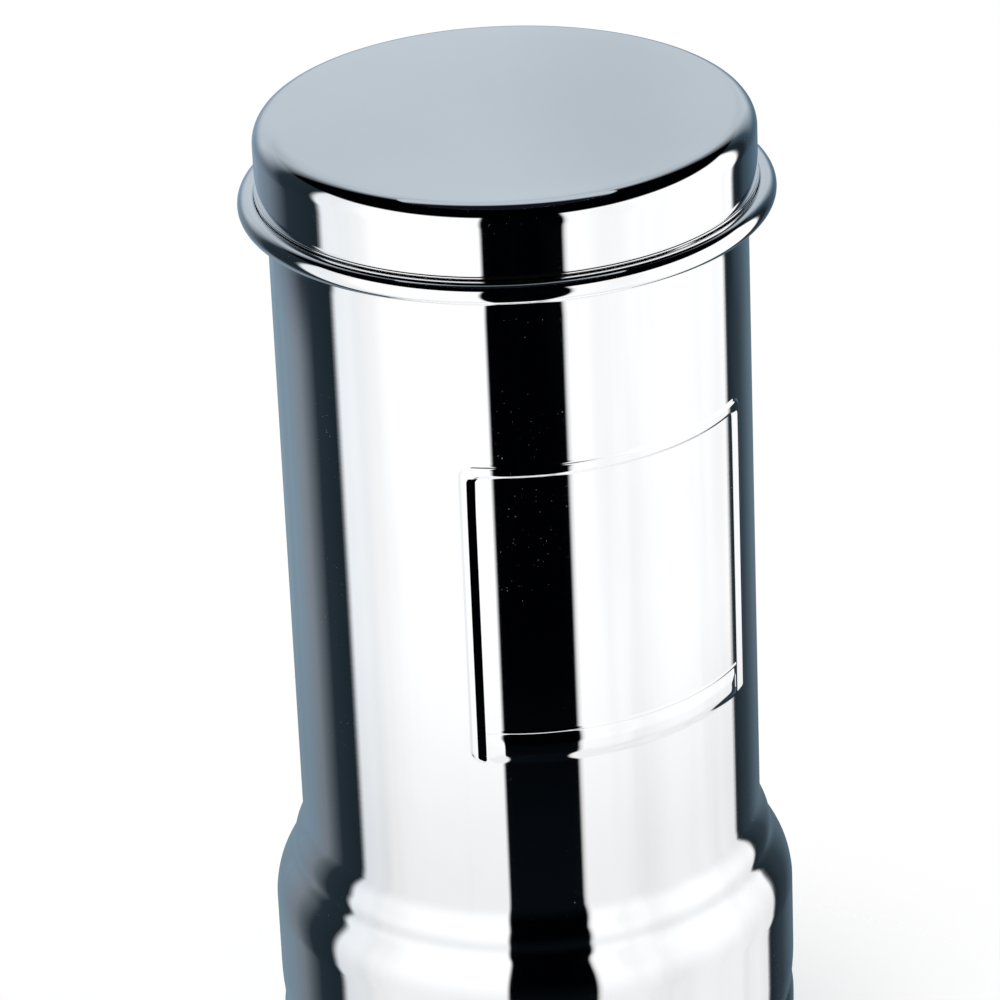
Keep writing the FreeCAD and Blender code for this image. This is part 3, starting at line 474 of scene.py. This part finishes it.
def press_frame(bm, sizes):
    """Press the frame out of the tube's front: a ridge on three sides and a pillow along its foot."""
    side, pillow, lip, lip_share = 5.6 * MM, 13 * MM, 1.5 * MM, 0.3
    edge, slope, swell = 1.6 * MM, 3.2 * MM, 4.5 * MM
    frame_corner, field_corner, pillow_corner = 5 * MM, 2.5 * MM, 3 * MM
    half, top = sizes.frame_half, sizes.frame_top
    foot = top - sizes.frame_height
    for vert in bm.verts:
        x, z = vert.co.x, vert.co.z
        radius = math.hypot(x, vert.co.y)
        if abs(radius - sizes.tube_radius) > 0.01 * MM or vert.co.y > 0:
            continue
        to_edge = inset(x, z, (-half, foot), (half, top), frame_corner)
        if to_edge <= 0:
            continue
        in_field = inset(x, z, (side - half, foot - pillow), (half - side, top - side), field_corner)
        ridge = ramp(to_edge, edge) * ramp(-in_field, slope if z < top - side else edge)
        in_pillow = inset(x, z, (side - half, foot), (half - side, foot + pillow), pillow_corner)
        in_lip = inset(x, z, (side - half, foot + pillow), (half - side, foot + pillow + lip), lip / 2)
        lift = max(ridge, ramp(in_pillow, swell), lip_share * ramp(in_lip, lip / 2))
        grow = 1 + sizes.frame_relief * lift / radius
        vert.co.x *= grow
        vert.co.y *= grow


class FILTER_OT_upper_vessel(bpy.types.Operator):
    """Make the upper vessel: rolled rim, tube with its pressed frame, shoulder and skirt"""

    bl_idname = "filter.upper_vessel"
    bl_label = "Upper vessel"

    def execute(self, context):
        sizes = context.scene.filter_sizes
        edge = math.degrees(math.asin(sizes.frame_half / sizes.tube_radius))
        near, far = edge - 6.4, edge + 0.5
        coarse, fine, field = 80, 44, 56
        spins = [(180 - far, coarse), (far - near, fine), (2 * near, field), (far - near, fine),
                 (180 - far, coarse)]
        bm = spin_outline(upper_outline(sizes), [(math.radians(angle), steps) for angle, steps in spins])
        press_frame(bm, sizes)
        finish_piece(bm, "upper_vessel_shell", "upper", "polished_steel", ["upper_vessel"], sharp=50)
        dress_node("upper_floor", "upper", "polished_steel")
        return {"FINISHED"}


class FILTER_OT_lower_vessel(bpy.types.Operator):
    """Make the lower vessel: standing disc, wall, ledge and hemmed neck"""

    bl_idname = "filter.lower_vessel"
    bl_label = "Lower vessel"

    def execute(self, context):
        sizes = context.scene.filter_sizes
        sheet, wall = sizes.sheet, LOWER_HIGH.x
        ledge, top = UPPER_LOW.z - 0.2 * MM, LOWER_HIGH.z
        neck = UPPER_HIGH.x - 1.4 * MM - sheet - 0.6 * MM
        corner, drop = 9 * MM, 1.5 * MM
        disc = wall - corner - 5.2 * MM - drop
        slope = sheet * (math.sqrt(2) - 1)
        shell = Outline(0.0, 0.0)
        shell.line(disc, 0.0, 6).line(disc + drop, drop, 2).line(wall - corner, drop, 2)
        shell.arc(wall, drop + corner, corner, 1, 12).line(wall, ledge - 6.5 * MM, 16)
        shell.tangent_arc(neck + 1.6 * MM, ledge, 1, 10).line(neck, ledge, 2).line(neck, top, 4)
        shell.line(neck - 2 * sheet, top, 2).line(neck - 2 * sheet, top - 6 * MM, 2)
        shell.line(neck - sheet, top - 6 * MM).line(neck - sheet, ledge - sheet, 4)
        shell.line(neck + 1.6 * MM - sheet, ledge - sheet, 2)
        shell.tangent_arc(wall - sheet, ledge - 6.5 * MM, -1, 6).line(wall - sheet, drop + corner, 10)
        shell.arc(wall - corner, drop + sheet, corner - sheet, -1, 8)
        shell.line(disc + drop - slope, drop + sheet, 2).line(disc - slope, sheet, 2).line(0.0, sheet, 6)
        finish_piece(spin_outline(shell.points), "lower_vessel_shell", "lower", "polished_steel",
                     ["lower_vessel"], sharp=50)
        return {"FINISHED"}


class FILTER_OT_lid(bpy.types.Operator):
    """Make the lid: flat top, rounded corner, curled edge and locating plug"""

    bl_idname = "filter.lid"
    bl_label = "Lid"

    def execute(self, context):
        sizes = context.scene.filter_sizes
        sheet, corner = sizes.sheet, sizes.lid_round
        wall, top = sizes.tube_radius + 4 * MM, LID_HIGH.z
        edge, plug = sizes.lid_edge, sizes.tube_radius - sheet - 1 * MM
        bead = 0.6 * MM
        shell = Outline(0.0, top)
        shell.line(0.0, top - sheet).line(wall - corner, top - sheet, 8)
        shell.arc(wall - sheet, top - corner, corner - sheet, -1, 10)
        shell.line(wall - sheet, edge + sheet, 3).line(plug - sheet, edge + sheet, 2)
        shell.line(plug - sheet, LID_LOW.z, 2).line(plug, LID_LOW.z).line(plug, edge, 2)
        shell.line(wall, edge, 2).arc(wall, edge + 2 * bead, bead, 1, 12).line(wall, top - corner, 6)
        shell.arc(wall - corner, top, corner, 1, 20).line(0.0, top, 10)
        bm = spin_outline(shell.points, [(FULL_TURN, 2 * sizes.turn_steps)])
        finish_piece(bm, "lid_shell", "cover", "polished_steel", ["lid"], sharp=50)
        return {"FINISHED"}


class FILTER_OT_candles(bpy.types.Operator):
    """Make the four ceramic candles with their cups, washers and wing nuts"""

    bl_idname = "filter.candles"
    bl_label = "Candles"

    def execute(self, context):
        for number in range(1, CANDLES + 1):
            self.ceramic(number)
            dress_node(f"candle_base_{number}", "upper", "cup_plastic", bevel=0.3 * MM)
            dress_node(f"candle_washer_{number}", "upper", "gasket_rubber", bevel=0.4 * MM)
            dress_node(f"wing_nut_{number}", "upper", "nut_plastic", bevel=0.4 * MM)
        return {"FINISHED"}

    def ceramic(self, number):
        """A domed ceramic shell with a softly rounded foot."""
        node = f"ceramic_candle_{number}"
        low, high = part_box(node)
        radius, wall, foot = (high.x - low.x) / 2, 8 * MM, 1 * MM
        dome = high.z - radius
        shell = Outline(radius - wall, low.z)
        shell.line(radius - foot, low.z, 2).arc(radius, low.z + foot, foot, 1, 4)
        shell.line(radius, dome, 12).arc(0.0, high.z, radius, 1, 20)
        shell.line(0.0, high.z - wall).arc(radius - wall, dome, radius - wall, -1, 10)
        bm = spin_outline(shell.points, [(FULL_TURN, 96)])
        centre = ((low.x + high.x) / 2, (low.y + high.y) / 2, 0)
        bmesh.ops.translate(bm, verts=bm.verts, vec=centre)
        finish_piece(bm, f"{node}_shell", "upper", "candle_ceramic", [node])


class FILTER_OT_tap(bpy.types.Operator):
    """Make the tap: body, gaskets, nut, fluted bonnet, valve and spring"""

    bl_idname = "filter.tap"
    bl_label = "Tap"

    def execute(self, context):
        dress_node("tap_body", "lower", "tap_chrome", bevel=0.35 * MM)
        dress_node("tap_bonnet", "lower", "tap_chrome", bevel=0.25 * MM)
        dress_node("tap_back_nut", "lower", "tap_chrome", bevel=0.5 * MM)
        dress_node("tap_outer_gasket", "lower", "gasket_rubber")
        dress_node("tap_inner_gasket", "lower", "gasket_rubber")
        spring = dress_node("return_spring", "lower", "valve_steel")
        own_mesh(spring)
        dress_node("valve_rod", "valve", "valve_steel", bevel=0.2 * MM)
        dress_node("valve_seal", "valve", "gasket_rubber")
        dress_node("lever_pin", "valve", "valve_steel", bevel=0.2 * MM)
        return {"FINISHED"}


class FILTER_OT_lever(bpy.types.Operator):
    """Make the moulded lever with eased edges"""

    bl_idname = "filter.lever"
    bl_label = "Lever"

    def execute(self, context):
        dress_node("tap_lever", "lever", "lever_black", bevel=0.7 * MM)
        return {"FINISHED"}


def glow(name, paint, sizes):
    """A material that only glows, painted by a function of its graph and the sizes."""
    material, graph = new_material(name)
    shader = graph.node("ShaderNodeEmission", inputs={"Color": paint(graph, sizes), "Strength": 1.0})
    graph.node("ShaderNodeOutputMaterial", inputs={"Surface": shader})
    return material


def card_edge(degrees_seen, mirror):
    """Where a card must end, seen from the axis, to end at that azimuth in a round mirror."""
    seen = math.radians(degrees_seen)
    start = Vector((math.cos(seen), math.sin(seen))) * mirror
    along = Vector((math.cos(2 * seen), math.sin(2 * seen)))
    dot = start.dot(along)
    reach = -dot + math.sqrt(dot ** 2 - start.length_squared + TENT_RADIUS ** 2)
    hit = start + along * reach
    return math.degrees(math.atan2(hit.y, hit.x))


def seen_parts(graph, sizes):
    """How far a point of the tent lies to the side, in depth and up, as the camera sees them."""
    where = graph.node("ShaderNodeTexCoord", output="Object")
    turned = graph.node("ShaderNodeVectorRotate", {"rotation_type": "Z_AXIS"},
                        {"Vector": where, "Angle": sizes.seen_from})
    return graph.node("ShaderNodeSeparateXYZ", inputs={"Vector": turned}).outputs(0, 1, 2)


def ring(graph, around, stops):
    """A colour that changes round the tent, from stops of (degrees from the camera, colour)."""
    places = [((degrees + 180) / 360, colour) for degrees, colour in stops]
    return graph.node("ShaderNodeValToRGB", {"stops": places}, {"Fac": around})


def grey(level):
    return (level, level, level)


def tent_cards(graph, sizes):
    """White, a black gap and white again round the camera, dark at the sides and slate behind."""
    side, depth, level = seen_parts(graph, sizes)
    azimuth = graph.node("ShaderNodeMath", {"operation": "ARCTAN2"}, {0: side, 1: depth * -1.0})
    around = azimuth / FULL_TURN + 0.5
    streaks = graph.noise(graph.place((9, 9, 1.5)), 1.0, detail=3)
    cloud = graph.noise(graph.place((3, 3, 3)), 1.0, detail=2)
    left, gap_left, gap_right, right = [card_edge(seen, sizes.tube_radius) for seen in CARD_EDGES]
    slate_left, dark_left, near_left, near_right, slate_right = [
        card_edge(seen, sizes.tube_radius) for seen in SIDE_TONES]
    soft, crisp, dim_width = 1.5, 0.4, 24
    deep, dusk = (0.02, 0.03, 0.04), (0.04, 0.065, 0.09)
    bars = [(left - soft, NAVY), (left + soft, DIM), (left + dim_width, WHITE),
            (gap_left - crisp, WHITE), (gap_left + crisp, BLACK),
            (gap_right - crisp, BLACK), (gap_right + crisp, WHITE),
            (right - soft, WHITE), (right + soft, NAVY)]
    low_ring = ring(graph, around, [
        (-180, SLATE), (slate_left, (0.23, 0.32, 0.4)), (dark_left, (0.2, 0.23, 0.265)), (near_left, deep),
        *bars, (near_right, (0.036, 0.053, 0.068)), (slate_right, (0.1, 0.15, 0.19)), (180, SLATE)])
    high_ring = ring(graph, around, [
        (-180, SLATE), (-141, (0.26, 0.35, 0.45)), (-120, (0.16, 0.2, 0.25)), (-103, deep),
        *bars, (114, NAVY), (120, dusk), (141, (0.1, 0.17, 0.23)), (180, SLATE)])
    back = ring(graph, around, [(-180, grey(1)), (-128, grey(0.9)), (-106, grey(0)),
                                (122, grey(0)), (140, grey(0.9)), (180, grey(1))])
    tone = graph.mix(graph.fade(level, 0.33, 0.385), low_ring, high_ring)
    tone = graph.mix(graph.fade(level, 0.1, 0.24, 0.16, 0.0), tone, rgba(NAVY))
    tone = graph.mix(graph.fade(streaks, 0.45, 0.75, 0.0, 0.1), tone, rgba(NAVY))
    tone = graph.mix(graph.fade(level, CARD_TOP - 0.01, CARD_TOP + 0.01), tone, rgba(BLACK))
    clouded = graph.mix(graph.fade(cloud, 0.4, 0.7, 0.0, 0.2), rgba(PALE), rgba(NAVY))
    return graph.mix(back * graph.fade(level, 0.48, 0.58), tone, clouded)


def tent_top(graph, sizes):
    """Dark on the camera's side and pale behind."""
    depth = seen_parts(graph, sizes)[1]
    return graph.mix(graph.fade(depth, -0.04, 0.06), rgba((0.006, 0.007, 0.01)), rgba((0.5, 0.57, 0.63)))


class FILTER_OT_stage(bpy.types.Operator):
    """Set up the floor, the studio's cards, the lamps, the world and the camera"""

    bl_idname = "filter.stage"
    bl_label = "Studio"

    def execute(self, context):
        scene = context.scene
        scene.view_settings.view_transform = "Standard"
        self.floor(scene)
        self.cards(scene)
        self.lamps(scene)
        self.world(scene)
        self.camera(scene)
        return {"FINISHED"}

    def floor(self, scene):
        """A wide pale floor that fades out round the vessel's own shadow."""
        half_width, fade_from, fade_to = 40, 0.15, 0.38
        bm = bmesh.new()
        bmesh.ops.create_grid(bm, x_segments=1, y_segments=1, size=half_width)
        material, graph = new_material("floor")
        colour = tuple(scene.filter_finish.floor)
        cloud = graph.noise(graph.place(), 0.8, detail=2)
        tone = graph.mix(cloud, rgba(colour), rgba(shaded(colour, 0.02)))
        reach = graph.node("ShaderNodeVectorMath", {"operation": "LENGTH"}, {"Vector": graph.place()},
                           output="Value")
        graph.surface(Base_Color=tone, Roughness=0.9, Alpha=graph.fade(reach, fade_from, fade_to, 1.0, 0.0))
        self.show(scene, bm, "floor", material)

    def cards(self, scene):
        """A round tent of white and dark cards that only reflections see, with a flange at its foot."""
        sizes, flange = scene.filter_sizes, 0.16
        bm = bmesh.new()
        bmesh.ops.create_cone(bm, cap_ends=False, segments=192, radius1=TENT_RADIUS, radius2=TENT_RADIUS,
                              depth=TENT_HEIGHT)
        bmesh.ops.translate(bm, verts=bm.verts, vec=(0, 0, TENT_HEIGHT / 2))
        bmesh.ops.create_cone(bm, cap_ends=False, segments=192, radius1=flange, radius2=TENT_RADIUS,
                              depth=2 * MM)
        self.card(scene, bm, "reflector_tent", glow("reflector_tent", tent_cards, sizes))
        bm = bmesh.new()
        bmesh.ops.create_circle(bm, cap_ends=True, segments=64, radius=TENT_RADIUS)
        bmesh.ops.translate(bm, verts=bm.verts, vec=(0, 0, TENT_HEIGHT))
        self.card(scene, bm, "reflector_top", glow("reflector_top", tent_top, sizes))

    def card(self, scene, bm, name, material):
        """A card that lights nothing and shows in reflections alone."""
        card = self.show(scene, bm, name, material)
        card.visible_camera = False
        card.visible_diffuse = False
        card.visible_shadow = False
        card.visible_transmission = False

    def show(self, scene, bm, name, material):
        """Put a bmesh in the scene as an object with one material."""
        mesh = bpy.data.meshes.new(name)
        bm.to_mesh(mesh)
        bm.free()
        mesh.materials.append(material)
        shown = bpy.data.objects.new(name, mesh)
        scene.collection.objects.link(shown)
        return shown

    def lamps(self, scene):
        """A large soft lamp above on the left and a weaker one on the right."""
        aim = Vector((0, 0, 0.25))
        lamps = (("key", (-1.2, -1.3, 2.4), 1.6, 42), ("fill", (1.8, -0.6, 1.5), 1.4, 12))
        for name, place, size, power in lamps:
            data = bpy.data.lights.new(name, "AREA")
            data.shape, data.size, data.energy = "DISK", size, power
            lamp = bpy.data.objects.new(name, data)
            scene.collection.objects.link(lamp)
            lamp.location = place
            lamp.rotation_mode = "QUATERNION"
            lamp.rotation_quaternion = (Vector(place) - aim).to_track_quat("Z", "Y")
            lamp.visible_glossy = False

    def world(self, scene):
        """White to the camera and to reflections, and a plain soft level of light for the rest."""
        soft_light = 0.7
        world = bpy.data.worlds.new("studio")
        scene.world = world
        graph = Graph(world)
        rays = graph.node("ShaderNodeLightPath")
        shown, glossy, through = rays.outputs("Is Camera Ray", "Is Glossy Ray", "Is Transmission Ray")
        seen = shown.maths("MAXIMUM", glossy).maths("MAXIMUM", through)
        strength = seen * (1 - soft_light) + soft_light
        shader = graph.node("ShaderNodeBackground", inputs={"Color": (1, 1, 1, 1), "Strength": strength})
        graph.node("ShaderNodeOutputWorld", inputs={"Surface": shader})

    def camera(self, scene):
        """The photograph's view: a long lens, a little to the left of the tap and looking down."""
        sizes = scene.filter_sizes
        away, above = 20.1505 * sizes.tube_radius, 8.26387 * sizes.tube_radius
        pitch, yaw, roll = 0.45114, -0.00408, -0.042514
        data = bpy.data.cameras.new("camera")
        data.sensor_width, data.sensor_fit = 36.0, "HORIZONTAL"
        data.lens = 189.15
        data.clip_start, data.clip_end = 0.05, 200.0
        level = math.cos(pitch)
        forward = Vector((math.sin(yaw) * level, math.cos(yaw) * level, -math.sin(pitch)))
        right = forward.cross(Vector((0, 0, 1))).normalized()
        up = right.cross(forward)
        tilted_right = right * math.cos(roll) + up * math.sin(roll)
        tilted_up = up * math.cos(roll) - right * math.sin(roll)
        axes = Matrix((tilted_right, tilted_up, -forward)).transposed().to_4x4()
        place = Matrix.Translation((0, -away, UPPER_HIGH.z + above))
        camera = bpy.data.objects.new("camera", data)
        scene.collection.objects.link(camera)
        camera.matrix_world = Matrix.Rotation(-sizes.seen_from, 4, "Z") @ place @ axes
        scene.camera = camera


class FILTER_PT_panel(bpy.types.Panel):
    """Lists the pieces of the filter"""

    bl_label = "Gravity water filter"
    bl_space_type = "VIEW_3D"
    bl_region_type = "UI"
    bl_category = "Filter"

    def draw(self, context):
        for operator in OPERATORS:
            self.layout.operator(operator.bl_idname)
        for group in (context.scene.filter_sizes, context.scene.filter_finish):
            for name in group.__annotations__:
                self.layout.prop(group, name)


OPERATORS = (FILTER_OT_upper_vessel, FILTER_OT_lower_vessel, FILTER_OT_lid, FILTER_OT_candles,
             FILTER_OT_tap, FILTER_OT_lever, FILTER_OT_stage)
CLASSES = (FilterSizes, FilterFinish, *OPERATORS, FILTER_PT_panel)


def register():
    for item in CLASSES:
        bpy.utils.register_class(item)
    bpy.types.Scene.filter_sizes = PointerProperty(type=FilterSizes)
    bpy.types.Scene.filter_finish = PointerProperty(type=FilterFinish)


def unregister():
    del bpy.types.Scene.filter_finish
    del bpy.types.Scene.filter_sizes
    for item in reversed(CLASSES):
        bpy.utils.unregister_class(item)


def main():
    register()
    bpy.ops.filter.upper_vessel()
    bpy.ops.filter.lower_vessel()
    bpy.ops.filter.lid()
    bpy.ops.filter.candles()
    bpy.ops.filter.tap()
    bpy.ops.filter.lever()
    bpy.ops.filter.stage()


if __name__ == "__main__":
    main()
